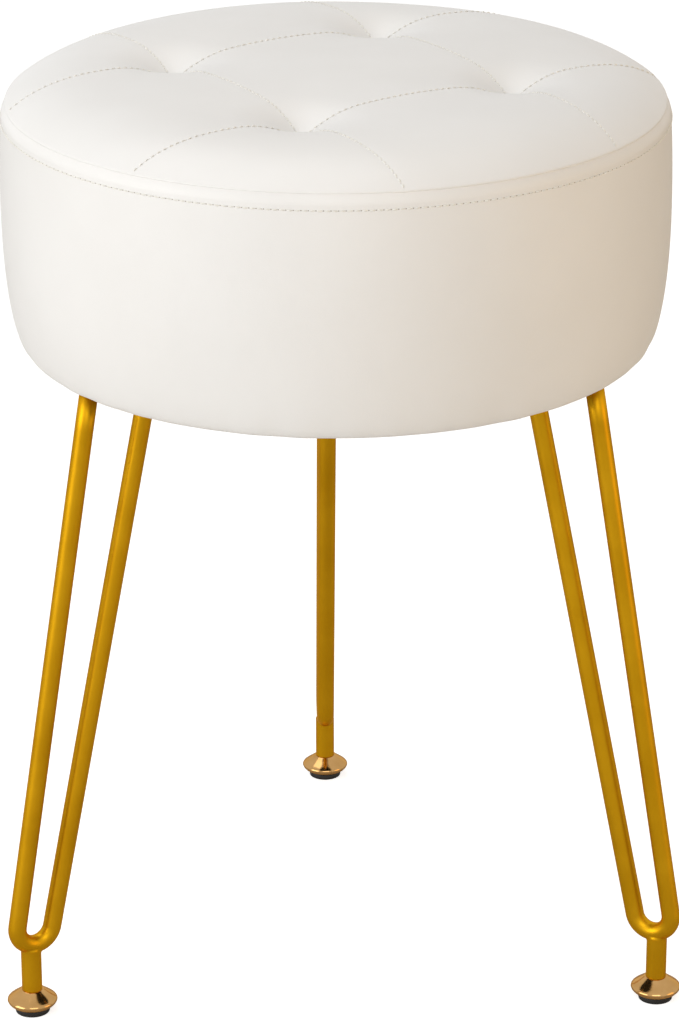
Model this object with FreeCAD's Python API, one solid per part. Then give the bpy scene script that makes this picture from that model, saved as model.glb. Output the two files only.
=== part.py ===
import FreeCAD
import Part
import os
from math import acos, asin, atan2, ceil, cos, degrees, hypot, pi, radians, sin, sqrt, tan

# Round tufted vanity stool on three hairpin legs with screw-in levelling feet.
# Millimetres, +Z up. Shapes are built about the seat's upright axis with the floor at
# z = 0, then moved together so that the origin is the middle of the overall footprint.
# +Y points to the rear leg, the other two legs stand front left and front right.

# Overall
total_height = 500.0
seat_thickness = 146.4
seat_radius = 176.8
leg_names = ("rear", "left", "right")
rear_leg_angle = 90.0

# Clearances, and how far a cut runs past what it cuts
soft_gap = 0.3
rigid_gap = 0.1
thread_gap = 0.05
weld_gap = 0.2
stop_gap = 0.1
cut_margin = 5.0

# Seat outline: how far its points lie inside the widest radius, and how high
seam_inset = 3.55
crown_height = 16.5
crown_edge_slope = 37.0
crown_rim_roll = 8.0
crown_dome_slope = 3.0
shoulder_inset = 1.6
shoulder_drop = 6.5
widest_rise = 70.8
waist_inset = 3.0
waist_rise = 21.4
hem_inset = 11.5
leather_thickness = 1.2

# Blind tufts at the crossings of the stitched lines
tuft_offset = 66.0
tuft_grid_angle = 30.0
tuft_radius = 44.0
tuft_edge_slope = 4.0
tuft_flank_slope = 32.0
tuft_run_out = 6.0

# How finely curves are drawn: the angle between straight runs, and flats in a full turn
run_angle = 22.5
seat_flats = 72
hidden_flats = 36
round_flats = 24
funnel_flats = 16
washer_flats = 8
fastener_flats = 6

# Wooden drum inside the upholstery
side_padding = 16.8
frame_height = 92.0
hoop_thickness = 3.0
base_board_thickness = 15.0
top_board_thickness = 12.0
batten_count = 6
batten_width = 40.0
batten_thickness = 20.0
batten_inset = 3.0

# Tuft ties
cord_radius = 1.0
cord_hole_gap = 0.4
cord_knot_radius = 2.8
tuft_washer_radius = 10.0
tuft_washer_thickness = 1.5

# Underside, from the drum's edge inwards
cover_margin = 8.0
cover_thickness = 0.6
hem_overlap = 12.0
staple_margin = 6.0
staple_positions = 24
staple_crown = 10.0
staple_wire_width = 1.2
staple_wire_thickness = 0.6
staple_leg_length = 8.0

# Leg mounting plates and their bolts
plate_margin = 2.0
plate_length = 74.0
plate_width = 40.0
plate_thickness = 3.0
plate_corner_radius = 6.0
bolt_radius = 3.0
bolt_outer_margin = 16.0
bolt_inner_margin = 11.0
bolt_side_margin = 6.5
bolt_length = 20.0
bolt_head_radius = 5.0
bolt_head_height = 4.0
bolt_hole_gap = 0.4
washer_radius = 6.0
washer_thickness = 1.2
t_nut_flange_radius = 9.5
t_nut_flange_thickness = 1.4
t_nut_wall = 0.85
t_nut_barrel_length = 10.0

# Hairpin rods
rod_radius = 5.0
rod_end_margin = 7.2
rod_spread = 36.0
leg_splay = 44.7
bend_radius = 10.7
bend_set_in = 2.9
bend_centre_height = 50.3

# Levelling feet
pad_radius = 9.3
pad_recess = 1.3
flange_base_height = 3.7
flange_lip = 0.5
flange_rim_overhang = 3.6
flange_rim_rise = 3.2
flange_cone_rise = 6.4
flange_neck_wall = 2.95
stud_radius = 3.0
stud_tip_clearance = 3.5
stud_tip_room = 1.0
socket_wall = 2.45

# Heights that follow
floor_z = 0.0
seam_z = total_height - crown_height
seat_bottom_z = total_height - seat_thickness
board_bottom_z = seat_bottom_z + leather_thickness
board_top_z = board_bottom_z + base_board_thickness
frame_top_z = board_bottom_z + frame_height
top_board_bottom_z = frame_top_z - top_board_thickness
cover_bottom_z = seat_bottom_z - cover_thickness
plate_bottom_z = cover_bottom_z - plate_thickness
washer_bottom_z = plate_bottom_z - washer_thickness
flange_rim_z = flange_base_height + flange_rim_rise
flange_top_z = flange_rim_z + flange_cone_rise
socket_bottom_z = flange_top_z + stop_gap
bend_low_z = bend_centre_height - bend_radius
pad_top_z = flange_base_height + pad_recess
stud_bottom_z = pad_top_z + stop_gap
stud_top_z = bend_low_z - rod_radius - stud_tip_clearance

# Radii that follow
seam_radius = seat_radius - seam_inset
drum_radius = seat_radius - side_padding
board_radius = drum_radius - hoop_thickness - rigid_gap
cover_radius = drum_radius - cover_margin
hem_edge_radius = cover_radius - hem_overlap
staple_circle_radius = cover_radius - staple_margin
plate_outer_radius = drum_radius - plate_margin
plate_inner_radius = plate_outer_radius - plate_length
rod_outer_top_radius = plate_outer_radius - rod_end_margin
rod_inner_top_radius = rod_outer_top_radius - rod_spread
foot_circle_radius = rod_outer_top_radius + leg_splay
bend_centre_radius = foot_circle_radius - bend_set_in
flange_base_radius = pad_radius + rigid_gap + flange_lip
flange_rim_radius = flange_base_radius + flange_rim_overhang
bolt_hole_radius = bolt_radius + bolt_hole_gap
bolt_bore_radius = bolt_radius + thread_gap
t_nut_barrel_radius = bolt_bore_radius + t_nut_wall
stud_bore_radius = stud_radius + thread_gap

# The footprint runs from the front of the seat to the rim of the rear foot
footprint_centre_y = (foot_circle_radius + flange_rim_radius - seat_radius) / 2

UP = FreeCAD.Vector(0, 0, 1)
ORIGIN = FreeCAD.Vector(0, 0, 0)
TINY = 1e-6

leg_angles = [rear_leg_angle + 360 * k / len(leg_names) for k in range(len(leg_names))]
tuft_angles = [tuft_grid_angle + 45 + 90 * k for k in range(4)]


def point(radius, z):
    """A point in the XZ plane, where every turned profile is drawn."""
    return FreeCAD.Vector(radius, 0, z)


def polygon_face(corners):
    return Part.Face(Part.makePolygon(corners + corners[:1]))


def turn_flat(corners, sides, reach=1.0):
    """Turn an outline that starts and ends on the upright axis into a solid, in flats."""
    turns = [2 * pi * (k + 0.5) / sides for k in range(sides)]
    rings = [
        [FreeCAD.Vector(reach * c.x * cos(a), reach * c.x * sin(a), c.z) for a in turns]
        for c in corners
    ]
    faces = []
    for lower, upper in zip(rings, rings[1:]):
        for k in range(sides):
            flat = [lower[k - 1], lower[k], upper[k], upper[k - 1]]
            if lower[k].isEqual(lower[k - 1], TINY):
                flat = flat[1:]
            elif upper[k].isEqual(upper[k - 1], TINY):
                flat = flat[:3]
            faces.append(polygon_face(flat))
    shell = Part.Shell(faces)
    shell.sewShape()
    return Part.Solid(shell)


def prism(radius, z0, z1, sides=fastener_flats):
    """An upright prism whose flats stand at a radius."""
    reach = radius / cos(pi / sides)
    turns = [2 * pi * (k + 0.5) / sides for k in range(sides)]
    corners = [FreeCAD.Vector(reach * cos(a), reach * sin(a), z0) for a in turns]
    return polygon_face(corners).extrude(FreeCAD.Vector(0, 0, z1 - z0))


def drum(radius, z0, z1):
    """A big hidden round, drawn with flats that stand at the radius."""
    return prism(radius, z0, z1, hidden_flats)


def disc(radius, z0, z1):
    return Part.makeCylinder(radius, z1 - z0, point(0, z0))


def slab(z0, z1):
    """A wide slice of space between two heights."""
    return disc(2 * seat_radius, z0, z1)


def past(start, end, extra):
    """The point that lies beyond the end of a line by an extra length."""
    return end + (end - start).normalize() * extra


def around(shape, angle):
    """A copy of a shape turned about the seat's axis."""
    copy = shape.copy()
    copy.rotate(ORIGIN, UP, angle)
    return copy


def moved(shape, x, y, z):
    copy = shape.copy()
    copy.translate(FreeCAD.Vector(x, y, z))
    return copy


class Arc:
    """An arc of a turned profile, kept by its centre so that it can be inset."""

    def __init__(self, centre, radius, start, end):
        self.centre = centre
        self.radius = radius
        self.start = start
        self.end = end

    def at(self, angle, inset=0.0):
        reach = self.radius - inset
        return point(self.centre[0] + reach * cos(angle), self.centre[1] + reach * sin(angle))

    def stops(self, inset):
        """The ends of straight runs along the arc, drawn in by an inset."""
        count = ceil(abs(self.end - self.start) / radians(run_angle))
        step = (self.end - self.start) / count
        return [self.at(self.start + step * k, inset) for k in range(count + 1)]


def arc_between(a, normal, b):
    """The arc that leaves a with its outward normal at the given angle and reaches b."""
    chord = hypot(b[0] - a[0], b[1] - a[1])
    along = atan2(b[1] - a[1], b[0] - a[0])
    tangent = normal - pi / 2 if sin(along - normal) < 0 else normal + pi / 2
    half_turn = (along - tangent + pi) % (2 * pi) - pi
    radius = chord / (2 * abs(sin(half_turn)))
    centre = (a[0] - radius * cos(normal), a[1] - radius * sin(normal))
    return Arc(centre, radius, normal, normal + 2 * half_turn)


def band_arcs():
    """The seat's side: a roll at the seam, fullest near the middle, drawn in to the hem's fold."""
    seam = (seam_radius, seam_z)
    shoulder = (seat_radius - shoulder_inset, seam_z - shoulder_drop)
    widest = (seat_radius, seat_bottom_z + widest_rise)
    waist = (seat_radius - waist_inset, seat_bottom_z + waist_rise)
    hem = (seat_radius - hem_inset, seat_bottom_z)
    upper = arc_between(widest, 0.0, shoulder)
    roll = arc_between(shoulder, upper.end, seam)
    lower = arc_between(widest, 0.0, waist)
    corner = arc_between(waist, lower.end, hem)
    return roll, upper, lower, corner


def crown_arcs(seam_normal):
    """The seat's top: a gentle dome, a rounded shoulder and the roll that meets the seam."""
    dome_slope = radians(crown_dome_slope)
    edge_slope = radians(crown_edge_slope)
    seam_slope = pi / 2 - seam_normal
    rim_centre = (
        seam_radius - crown_rim_roll * sin(seam_slope),
        seam_z - crown_rim_roll * cos(seam_slope),
    )
    rim = Arc(rim_centre, crown_rim_roll, pi / 2 - edge_slope, seam_normal)
    edge = rim.at(rim.start)
    across = sin(edge_slope) - sin(dome_slope)
    down = cos(dome_slope) - cos(edge_slope)
    rise = total_height - edge.z
    radius = (rise - edge.x * tan(dome_slope / 2)) / (down - across * tan(dome_slope / 2))
    centre = (edge.x - radius * sin(edge_slope), edge.z - radius * cos(edge_slope))
    shoulder = Arc(centre, radius, pi / 2 - dome_slope, pi / 2 - edge_slope)
    dome_radius = shoulder.at(shoulder.start).x / sin(dome_slope)
    dome = Arc((0.0, total_height - dome_radius), dome_radius, pi / 2, pi / 2 - dome_slope)
    return dome, shoulder, rim


def tuft_arc():
    """The flank of a tuft's funnel, drawn as if the tuft were in the middle of the dome."""
    start = pi / 2 + radians(tuft_edge_slope)
    end = pi / 2 + radians(tuft_flank_slope)
    radius = tuft_radius / (cos(start) - cos(end))
    edge_z = dome.centre[1] + sqrt(dome.radius**2 - tuft_radius**2)
    centre = (tuft_radius - radius * cos(start), edge_z - radius * sin(start))
    return Arc(centre, radius, start, end)


def tuft_bottom(inset):
    """The angle and height at which a funnel's flank reaches the middle of the tuft."""
    angle = acos(-tuft_flank.centre[0] / (tuft_flank.radius - inset))
    return angle, tuft_flank.at(angle, inset).z


band = band_arcs()
crown = crown_arcs(band[0].end)
dome, rim = crown[0], crown[-1]
tuft_flank = tuft_arc()
tuft_tilt = asin(tuft_offset * sqrt(2) / dome.radius)


def crown_stops(inset):
    """The crown's corners from its middle out to the seam, drawn in by an inset."""
    corners = [dome.at(dome.start, inset)]
    for arc in crown:
        corners += arc.stops(inset)[1:]
    return corners


def side_stops(inset):
    """The side's corners from the seam down to where it reaches the bottom."""
    roll, upper, lower, corner = band
    bottom_z = seat_bottom_z + inset
    end = asin((bottom_z - corner.centre[1]) / (corner.radius - inset))
    fold = Arc(corner.centre, corner.radius, corner.start, end)
    above = upper.stops(inset) + roll.stops(inset)[1:]
    below = lower.stops(inset) + fold.stops(inset)[1:]
    return above[::-1] + below[1:]


def cushion(inset, sides):
    """The whole seat drawn in by an inset, tufts and all, in flats."""
    side = side_stops(inset)
    outline = crown_stops(inset) + side[1:] + [point(0, side[-1].z)]
    return turn_flat(outline, sides).cut(funnels(inset))


def funnel_outline(inset):
    """Half of a tuft's funnel, from its bottom up the flank and out past the crown."""
    angle, bottom = tuft_bottom(inset)
    flank = Arc(tuft_flank.centre, tuft_flank.radius, tuft_flank.start, angle).stops(inset)
    run_out = past(flank[1], flank[0], tuft_run_out)
    top_z = total_height + tuft_run_out
    return [point(0, bottom), *flank[-2::-1], run_out, point(run_out.x, top_z), point(0, top_z)]


def on_tufts(funnel):
    """A funnel drawn in the middle of the dome, copied to the four tufts."""
    funnel.rotate(point(0, dome.centre[1]), FreeCAD.Vector(0, 1, 0), degrees(tuft_tilt))
    return [around(funnel, angle) for angle in tuft_angles]


def funnels(inset):
    """What the four tufts take out of the seat, in flats that stand at their radius."""
    return on_tufts(turn_flat(funnel_outline(inset), funnel_flats, 1 / cos(pi / funnel_flats)))


def tuft_points(z0, z1, radius):
    """Upright rods of a radius on the four tufts, between two heights."""
    angle, bottom = tuft_bottom(leather_thickness)
    reach = (bottom - dome.centre[1]) * sin(tuft_tilt)
    rod = moved(prism(radius, z0, z1), reach, 0, 0)
    return [around(rod, angle) for angle in tuft_angles]


def leather(room):
    """The layer of leather all round the seat, as far as it lies in a room."""
    seat = cushion(0.0, seat_flats).common(room)
    return seat.cut(cushion(leather_thickness, hidden_flats))


def top_cover():
    """The tufted leather of the top, down to the level of the seam."""
    below_tufts = drum(hem_edge_radius, frame_top_z, seam_z)
    return leather(slab(seam_z, total_height).fuse(below_tufts))


def side_band():
    """The side panel, turned under the board as a hem that the legs are bolted through."""
    within = drum(hem_edge_radius, seat_bottom_z, seam_z)
    panel = leather(slab(seat_bottom_z, seam_z).cut(within))
    return panel.cut(leg_bolt_rods(bolt_hole_radius))


def padding(z0, z1):
    """The foam under the leather, between two heights."""
    return cushion(leather_thickness + soft_gap, hidden_flats).common(slab(z0, z1))


def topper_foam():
    foam = padding(frame_top_z, total_height)
    return foam.cut(tuft_points(frame_top_z, total_height, cord_radius + cord_hole_gap))


def side_foam():
    ring = padding(seat_bottom_z, frame_top_z)
    return ring.cut(drum(drum_radius + soft_gap, seat_bottom_z, frame_top_z))


def side_hoop():
    hoop = drum(drum_radius, board_bottom_z, frame_top_z)
    return hoop.cut(drum(drum_radius - hoop_thickness, board_bottom_z, frame_top_z))


def top_board():
    board = drum(board_radius, top_board_bottom_z, frame_top_z)
    return board.cut(tuft_points(top_board_bottom_z, frame_top_z, cord_radius + cord_hole_gap))


def base_board():
    board = drum(board_radius, board_bottom_z, board_top_z)
    return board.cut(leg_bolt_rods(t_nut_barrel_radius + rigid_gap))


def frame_battens():
    outer = board_radius - batten_inset
    height = top_board_bottom_z - board_top_z
    corner_point = FreeCAD.Vector(outer - batten_thickness, -batten_width / 2, board_top_z)
    batten = Part.makeBox(batten_thickness, batten_width, height, corner_point)
    return [around(batten, 360.0 / batten_count * k) for k in range(batten_count)]


def tuft_cords():
    """Waxed twine from under the leather to a knot below its washer."""
    angle, bottom = tuft_bottom(leather_thickness)
    tilted = dome.centre[1] + (bottom - dome.centre[1]) * cos(tuft_tilt)
    knot_top = top_board_bottom_z - tuft_washer_thickness
    cords = tuft_points(knot_top, tilted, cord_radius)
    knots = tuft_points(knot_top - 2 * cord_knot_radius, knot_top, cord_knot_radius)
    return [cord.fuse(knot) for cord, knot in zip(cords, knots)]


def tuft_washers():
    z0 = top_board_bottom_z - tuft_washer_thickness
    discs = tuft_points(z0, top_board_bottom_z, tuft_washer_radius)
    holes = tuft_points(z0, top_board_bottom_z, cord_radius + cord_hole_gap)
    return [washer.cut(hole) for washer, hole in zip(discs, holes)]


def dust_cover():
    cover = drum(cover_radius, cover_bottom_z, seat_bottom_z)
    return cover.cut(leg_bolt_rods(bolt_hole_radius))


def cover_staples():
    """Staples through the dust cover and the hem, all round but for the leg plates."""
    crown_z = cover_bottom_z - staple_wire_thickness
    outside = Part.makeBox(
        staple_wire_width,
        staple_crown,
        staple_leg_length,
        FreeCAD.Vector(staple_circle_radius - staple_wire_width / 2, -staple_crown / 2, crown_z),
    )
    inside = Part.makeBox(
        staple_wire_width,
        staple_crown - 2 * staple_wire_thickness,
        staple_leg_length,
        FreeCAD.Vector(
            staple_circle_radius - staple_wire_width / 2,
            -staple_crown / 2 + staple_wire_thickness,
            crown_z + staple_wire_thickness,
        ),
    )
    staple = outside.cut(inside)
    step = 360.0 / staple_positions
    clear = degrees(asin((plate_width + staple_crown) / 2 / staple_circle_radius))
    return [around(staple, step * k) for k in range(staple_positions) if off_legs(step * k, clear)]


def off_legs(azimuth, clear):
    """Whether a direction is further from every leg than the given angle."""
    turns = [(azimuth - leg + 180) % 360 - 180 for leg in leg_angles]
    return min(abs(angle) for angle in turns) > clear


def bolt_places():
    """The four bolts of a leg plate, as x and y on a leg that points along +X."""
    reaches = (plate_inner_radius + bolt_inner_margin, plate_outer_radius - bolt_outer_margin)
    side_offset = plate_width / 2 - bolt_side_margin
    return [(x, side * side_offset) for x in reaches for side in (-1, 1)]


def at_bolts(shape):
    """Copies of a shape at the bolts of one leg."""
    return [moved(shape, x, y, 0) for x, y in bolt_places()]


def at_all_bolts(shape):
    """Copies of a shape at the bolts of every leg."""
    return [around(copy, leg) for leg in leg_angles for copy in at_bolts(shape)]


def leg_bolt_rods(radius):
    """Upright rods through the bolt holes, for cutting holes of a radius."""
    return at_all_bolts(prism(radius, plate_bottom_z - cut_margin, board_top_z + cut_margin))


def leg_plate():
    """A steel plate with rounded corners and four bolt holes, under the dust cover."""
    length = plate_outer_radius - plate_inner_radius
    corner_point = FreeCAD.Vector(plate_inner_radius, -plate_width / 2, plate_bottom_z)
    plate = Part.makeBox(length, plate_width, plate_thickness, corner_point)
    upright = [e for e in plate.Edges if abs(e.tangentAt(e.FirstParameter).z) > 0.5]
    plate = plate.makeFillet(plate_corner_radius, upright)
    holes = at_bolts(prism(bolt_hole_radius, plate_bottom_z, cover_bottom_z))
    return plate.cut(holes)


def leg_bolt():
    """A hexagon-head bolt, pointing up."""
    head = prism(bolt_head_radius, washer_bottom_z - bolt_head_height, washer_bottom_z)
    return head.fuse(prism(bolt_radius, washer_bottom_z, washer_bottom_z + bolt_length))


def leg_washer():
    washer = prism(washer_radius, washer_bottom_z, plate_bottom_z, washer_flats)
    return washer.cut(prism(bolt_radius + rigid_gap, washer_bottom_z, plate_bottom_z))


def t_nut():
    """A tee nut pressed into the board from above, its flange on top."""
    flange_top = board_top_z + t_nut_flange_thickness
    barrel_bottom = board_top_z - t_nut_barrel_length
    nut = prism(t_nut_flange_radius, board_top_z, flange_top, washer_flats)
    nut = nut.fuse(prism(t_nut_barrel_radius, barrel_bottom, board_top_z))
    return nut.cut(prism(bolt_bore_radius, barrel_bottom, flange_top))


def hairpin_rod():
    """A rod bent to a narrow U in a leg's upright plane, its ends cut level under the plate."""
    centre = (bend_centre_radius, bend_centre_height)
    outer_top = (rod_outer_top_radius, plate_bottom_z)
    inner_top = (rod_inner_top_radius, plate_bottom_z)
    outer_end = tangent_angle(outer_top, centre, -1)
    inner_end = tangent_angle(inner_top, centre, 1)
    bend = Arc(centre, bend_radius, outer_end, inner_end - 2 * pi)
    stops = bend.stops(0.0)
    outer_start = past(stops[0], point(*outer_top), cut_margin)
    inner_start = past(stops[-1], point(*inner_top), cut_margin)
    path = Part.makePolygon([outer_start, *stops, inner_start])
    section = Part.Wire(Part.makeCircle(rod_radius, outer_start, stops[0] - outer_start))
    rod = path.makePipeShell([section], True, False, 1)
    return rod.cut(slab(plate_bottom_z, plate_bottom_z + rod_radius + 2 * cut_margin))


def tangent_angle(top, centre, side):
    """Where on the bend a straight rod from its top runs out, on one side of the bend."""
    across = top[0] - centre[0]
    up = top[1] - centre[1]
    return atan2(up, across) + side * acos(bend_radius / hypot(across, up))


def on_foot(shape):
    """A shape drawn on the upright axis, moved out to the foot of the leg that points along +X."""
    return moved(shape, foot_circle_radius, 0, 0)


def foot_socket():
    """A threaded boss under the bend of a leg, coped to the rod that it is welded to."""
    top_z = bend_low_z - rod_radius / 2
    boss = disc(stud_bore_radius + socket_wall, socket_bottom_z, top_z)
    boss = on_foot(boss.cut(disc(stud_bore_radius, socket_bottom_z, stud_top_z + stud_tip_room)))
    reach = stud_bore_radius + socket_wall + cut_margin
    cope_start = point(foot_circle_radius - reach, bend_low_z)
    along = FreeCAD.Vector(1, 0, 0)
    return boss.cut(Part.makeCylinder(rod_radius + weld_gap, 2 * reach, cope_start, along))


def leveller_stud():
    return on_foot(disc(stud_radius, stud_bottom_z, stud_top_z))


def foot_flange():
    """A bright foot: a rim over a narrower base, and a cone that rises to the socket."""
    outline = [
        point(0, flange_top_z),
        point(stud_bore_radius + flange_neck_wall, flange_top_z),
        point(flange_rim_radius, flange_rim_z),
        point(flange_base_radius, flange_base_height),
        point(0, flange_base_height),
    ]
    flange = turn_flat(outline, round_flats)
    recess = prism(pad_radius + rigid_gap, flange_base_height, pad_top_z, round_flats)
    return on_foot(flange.cut(recess).cut(disc(stud_bore_radius, pad_top_z, flange_top_z)))


def foot_pad():
    return on_foot(prism(pad_radius, floor_z, pad_top_z, round_flats))


def export(name, shape):
    """Write one node, a solid or a group of solids, with the origin under the footprint's middle."""
    node = Part.Compound(shape) if isinstance(shape, list) else shape.copy()
    node.translate(FreeCAD.Vector(0, -footprint_centre_y, 0))
    node.exportStep(os.path.join("parts", name + ".step"))


os.makedirs("parts", exist_ok=True)

export("top_cover", top_cover())
export("side_band", side_band())
export("topper_foam", topper_foam())
export("side_foam", side_foam())
export("side_hoop", side_hoop())
export("top_board", top_board())
export("base_board", base_board())
export("frame_battens", frame_battens())
export("tuft_cords", tuft_cords())
export("tuft_washers", tuft_washers())
export("dust_cover", dust_cover())
export("cover_staples", cover_staples())
export("t_nuts", at_all_bolts(t_nut()))
export("leg_washers", at_all_bolts(leg_washer()))
export("leg_bolts", at_all_bolts(leg_bolt()))

leg_pieces = {
    "leg_plate": leg_plate(),
    "hairpin_rod": hairpin_rod(),
    "foot_socket": foot_socket(),
    "leveller_stud": leveller_stud(),
    "foot_flange": foot_flange(),
    "foot_pad": foot_pad(),
}
for leg, angle in zip(leg_names, leg_angles):
    for piece, shape in leg_pieces.items():
        export(leg + "_" + piece, around(shape, angle))
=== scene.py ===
import math

import bpy
import numpy as np
from mathutils import Matrix, Vector


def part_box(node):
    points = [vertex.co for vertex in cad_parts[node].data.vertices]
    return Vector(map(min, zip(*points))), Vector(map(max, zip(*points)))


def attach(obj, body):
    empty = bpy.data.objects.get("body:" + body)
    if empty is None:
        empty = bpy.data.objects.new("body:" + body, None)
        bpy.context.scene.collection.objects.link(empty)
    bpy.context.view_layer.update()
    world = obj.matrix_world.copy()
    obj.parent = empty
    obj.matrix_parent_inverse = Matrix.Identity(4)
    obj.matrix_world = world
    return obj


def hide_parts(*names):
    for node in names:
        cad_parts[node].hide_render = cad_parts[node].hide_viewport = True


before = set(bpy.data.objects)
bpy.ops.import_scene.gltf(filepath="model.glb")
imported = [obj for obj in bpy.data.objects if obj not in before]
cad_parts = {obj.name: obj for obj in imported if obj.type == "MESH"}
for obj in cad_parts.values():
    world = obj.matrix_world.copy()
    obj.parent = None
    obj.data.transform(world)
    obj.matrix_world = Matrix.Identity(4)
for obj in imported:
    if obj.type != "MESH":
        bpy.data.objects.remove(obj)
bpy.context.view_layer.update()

# Vanity stool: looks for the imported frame. Metres, in the frame's own axes.
MM = 0.001

# Camera, fitted to the photograph, as it stands from the seat's axis on the floor
CAMERA_DISTANCE = 2.1114
CAMERA_HEIGHT = 1.0843
CAMERA_TURN = math.radians(2.2)
CAMERA_PITCH = math.radians(21.55)
CAMERA_YAW = 0.0007
CAMERA_ROLL = -0.0022
CAMERA_LENS = 147.7
CAMERA_SENSOR = 36.0

# Studio: name, place, size, power and colour of each lamp, all aimed at one point
LAMP_TARGET = (0, 0, 0.4)
LAMPS = (
    ("key", (-1.9, -1.1, 1.0), (1.6, 1.6), 25, (1.0, 0.995, 0.99)),
    ("front", (0.1, -1.8, 1.5), (1.2, 1.2), 10.5, (1.0, 0.985, 0.975)),
    ("top", (-0.4, 0.5, 2.1), (1.4, 1.4), 9.8, (1.0, 0.995, 0.99)),
    ("fill", (1.7, -0.7, 0.6), (0.9, 1.4), 6.0, (1.0, 0.54, 0.03)),
)
WORLD_COLOUR = (0.95, 0.93, 0.90, 1)
WORLD_STRENGTH = 0.36
FLOOR_HALF = 3
FLOOR_LIFT = 0.72

# Seat, read from the frame
TOP_LOW, TOP_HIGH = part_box("top_cover")
BAND_LOW, BAND_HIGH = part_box("side_band")
FOAM_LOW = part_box("topper_foam")[0]
SEAT_AXIS = Vector(((TOP_LOW.x + TOP_HIGH.x) / 2, (TOP_LOW.y + TOP_HIGH.y) / 2, 0.0))
SEAM_Z = BAND_HIGH.z
SEAT_TOP = TOP_HIGH.z
SEAT_BOTTOM = BAND_LOW.z
FRAME_TOP = FOAM_LOW.z

# Crown and side profile
SEAM_RADIUS = 173.25 * MM
WIDEST_RADIUS = 176.8 * MM
CROWN_POWER = 8
WIDEST_Z = SEAT_BOTTOM + 70.8 * MM
SHOULDER_RADIUS = WIDEST_RADIUS - 1.6 * MM
SHOULDER_Z = SEAM_Z - 6.5 * MM
HEM_DRAW_IN = 11.5 * MM
HEM_FOLD_RADIUS = WIDEST_RADIUS - HEM_DRAW_IN
HEM_EDGE_RADIUS = 141 * MM
SEAM_CREASE = 0.75 * MM
SEAM_STEP = 0.4 * MM
SEAM_ROLL = 1.5 * MM
SEAM_ROLL_START = math.radians(50)
SEAM_ROLL_SWEEP = math.radians(130)
SEAM_ROLL_FLATNESS = 0.6
SEAM_LIP = 0.45 * MM
TOP_MIDDLE_RADIUS = 0.4 * MM
FOAM_INSET = 1.6 * MM
TOPPER_EXTRA_INSET = 1 * MM
DRUM_RADIUS = 160.4 * MM
COVER_RADIUS = 152 * MM

# Small relief of the side panel
BAND_RIPPLE = 0.25 * MM
HEM_PUCKER = 0.35 * MM
HEM_PUCKER_REACH = 14 * MM
HEM_PLEAT = 0.9 * MM
STITCH_GROOVE = 0.1 * MM
STITCH_GROOVE_WIDTH = 1.2 * MM
BACK_SEAM_DEPTH = 0.9 * MM
BACK_SEAM_WIDTH = 0.7 * MM
BACK_SEAM_WELT = 0.35
BACK_SEAM_WELT_PLACE = 3 * MM
BACK_SEAM_WELT_WIDTH = 2 * MM

# Tufts at the crossings of four stitched lines
GRID_TURN = math.radians(30.0)
LINE_OFFSET = 64.0 * MM
GRID_SHIFT = (2.5 * MM, 0.0)
LINE_END_GAP = 1.2 * MM
TUFT_RADIUS = 36.0 * MM
TUFT_EDGE_SLOPE = math.radians(4.0)
TUFT_FLANK_SLOPE = math.radians(35.0)
CREASE_DEPTH = 0.28 * MM
CREASE_EXTRA_DEPTH = 0.4 * MM
CREASE_WIDTH = 1.9 * MM
CREASE_EXTRA_REACH = 24.0 * MM

# Stitches
STITCH_PITCH = 3.7 * MM
STITCH_LENGTH = 2.6 * MM
STITCH_WIDTH = 0.8 * MM
STITCH_RISE = 0.42 * MM
STITCH_SIDES = 6
TOPSTITCH_DROP = 8.5 * MM
BACK_STITCH_OFFSET = 4 * MM
BACK_STITCH_LOW = SEAT_BOTTOM + 8 * MM
BACK_STITCH_HIGH = SEAM_Z - 11 * MM
BACK_SEAM_ANGLE = math.radians(90.0)
TOPSTITCH_HOLE = 0.45 * MM
BACK_STITCH_HOLE = 0.4 * MM
GRID_STITCH_HOLE = 0.3 * MM

# Dust cloth
CLOTH_WRINKLE = 0.12 * MM
CLOTH_FLAT_EDGE = 20 * MM
CLOTH_HOLE_RADIUS = 1.5 * MM
CLOTH_BOLT_GAP = 5.5 * MM

# Legs and feet
LEGS = {"rear": math.radians(90), "left": math.radians(210), "right": math.radians(330)}
ROD_RADIUS = 5.0 * MM
ROD_OUTER_TOP = (150.8 * MM, 350.0 * MM)
ROD_INNER_TOP = (114.8 * MM, 350.0 * MM)
BEND_CENTRE = (192.6 * MM, 50.3 * MM)
BEND_RADIUS = 10.7 * MM
FOOT_RADIUS = 195.5 * MM
SOCKET_RADIUS = 5.5 * MM
SOCKET_WELD_REACH = 10 * MM
SOCKET_WELD_LOW = 27 * MM
SOCKET_WELD_HIGH = 38 * MM
SOCKET_WELD_VOXEL = 0.4 * MM
SOCKET_WELD_SMOOTHING = 26
PLATE_WELD_THICK = 1.1 * MM
BEAD_RIPPLE = 0.16
BEAD_RIPPLES = 9
BEAD_SPREAD = 0.06
PLATE_WELD_GAP = 0.3 * MM
PLATE_WELD_DROP = 0.9 * MM
STUD_RADIUS = 3.0 * MM
THREAD_DEPTH = 0.32 * MM
THREAD_PITCH = 1.0 * MM
BOLT_REACHES = (95.0 * MM, 142.0 * MM)
BOLT_SIDE = 13.5 * MM

# How finely the round forms are drawn
TURNS = 720
TOP_RINGS = 190
PADDING_TURNS = 144
CLOTH_TURNS = 240
CLOTH_RINGS = 60
ROD_SIDES = 40
WELD_SIDES = 32
BEAD_TURNS = 56
BEAD_SIDES = 10
FLANGE_TURNS = 96
PAD_TURNS = 72
STUD_TURNS = 28
STUD_ROWS_PER_PITCH = 6

chance = np.random.default_rng(7)


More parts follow.
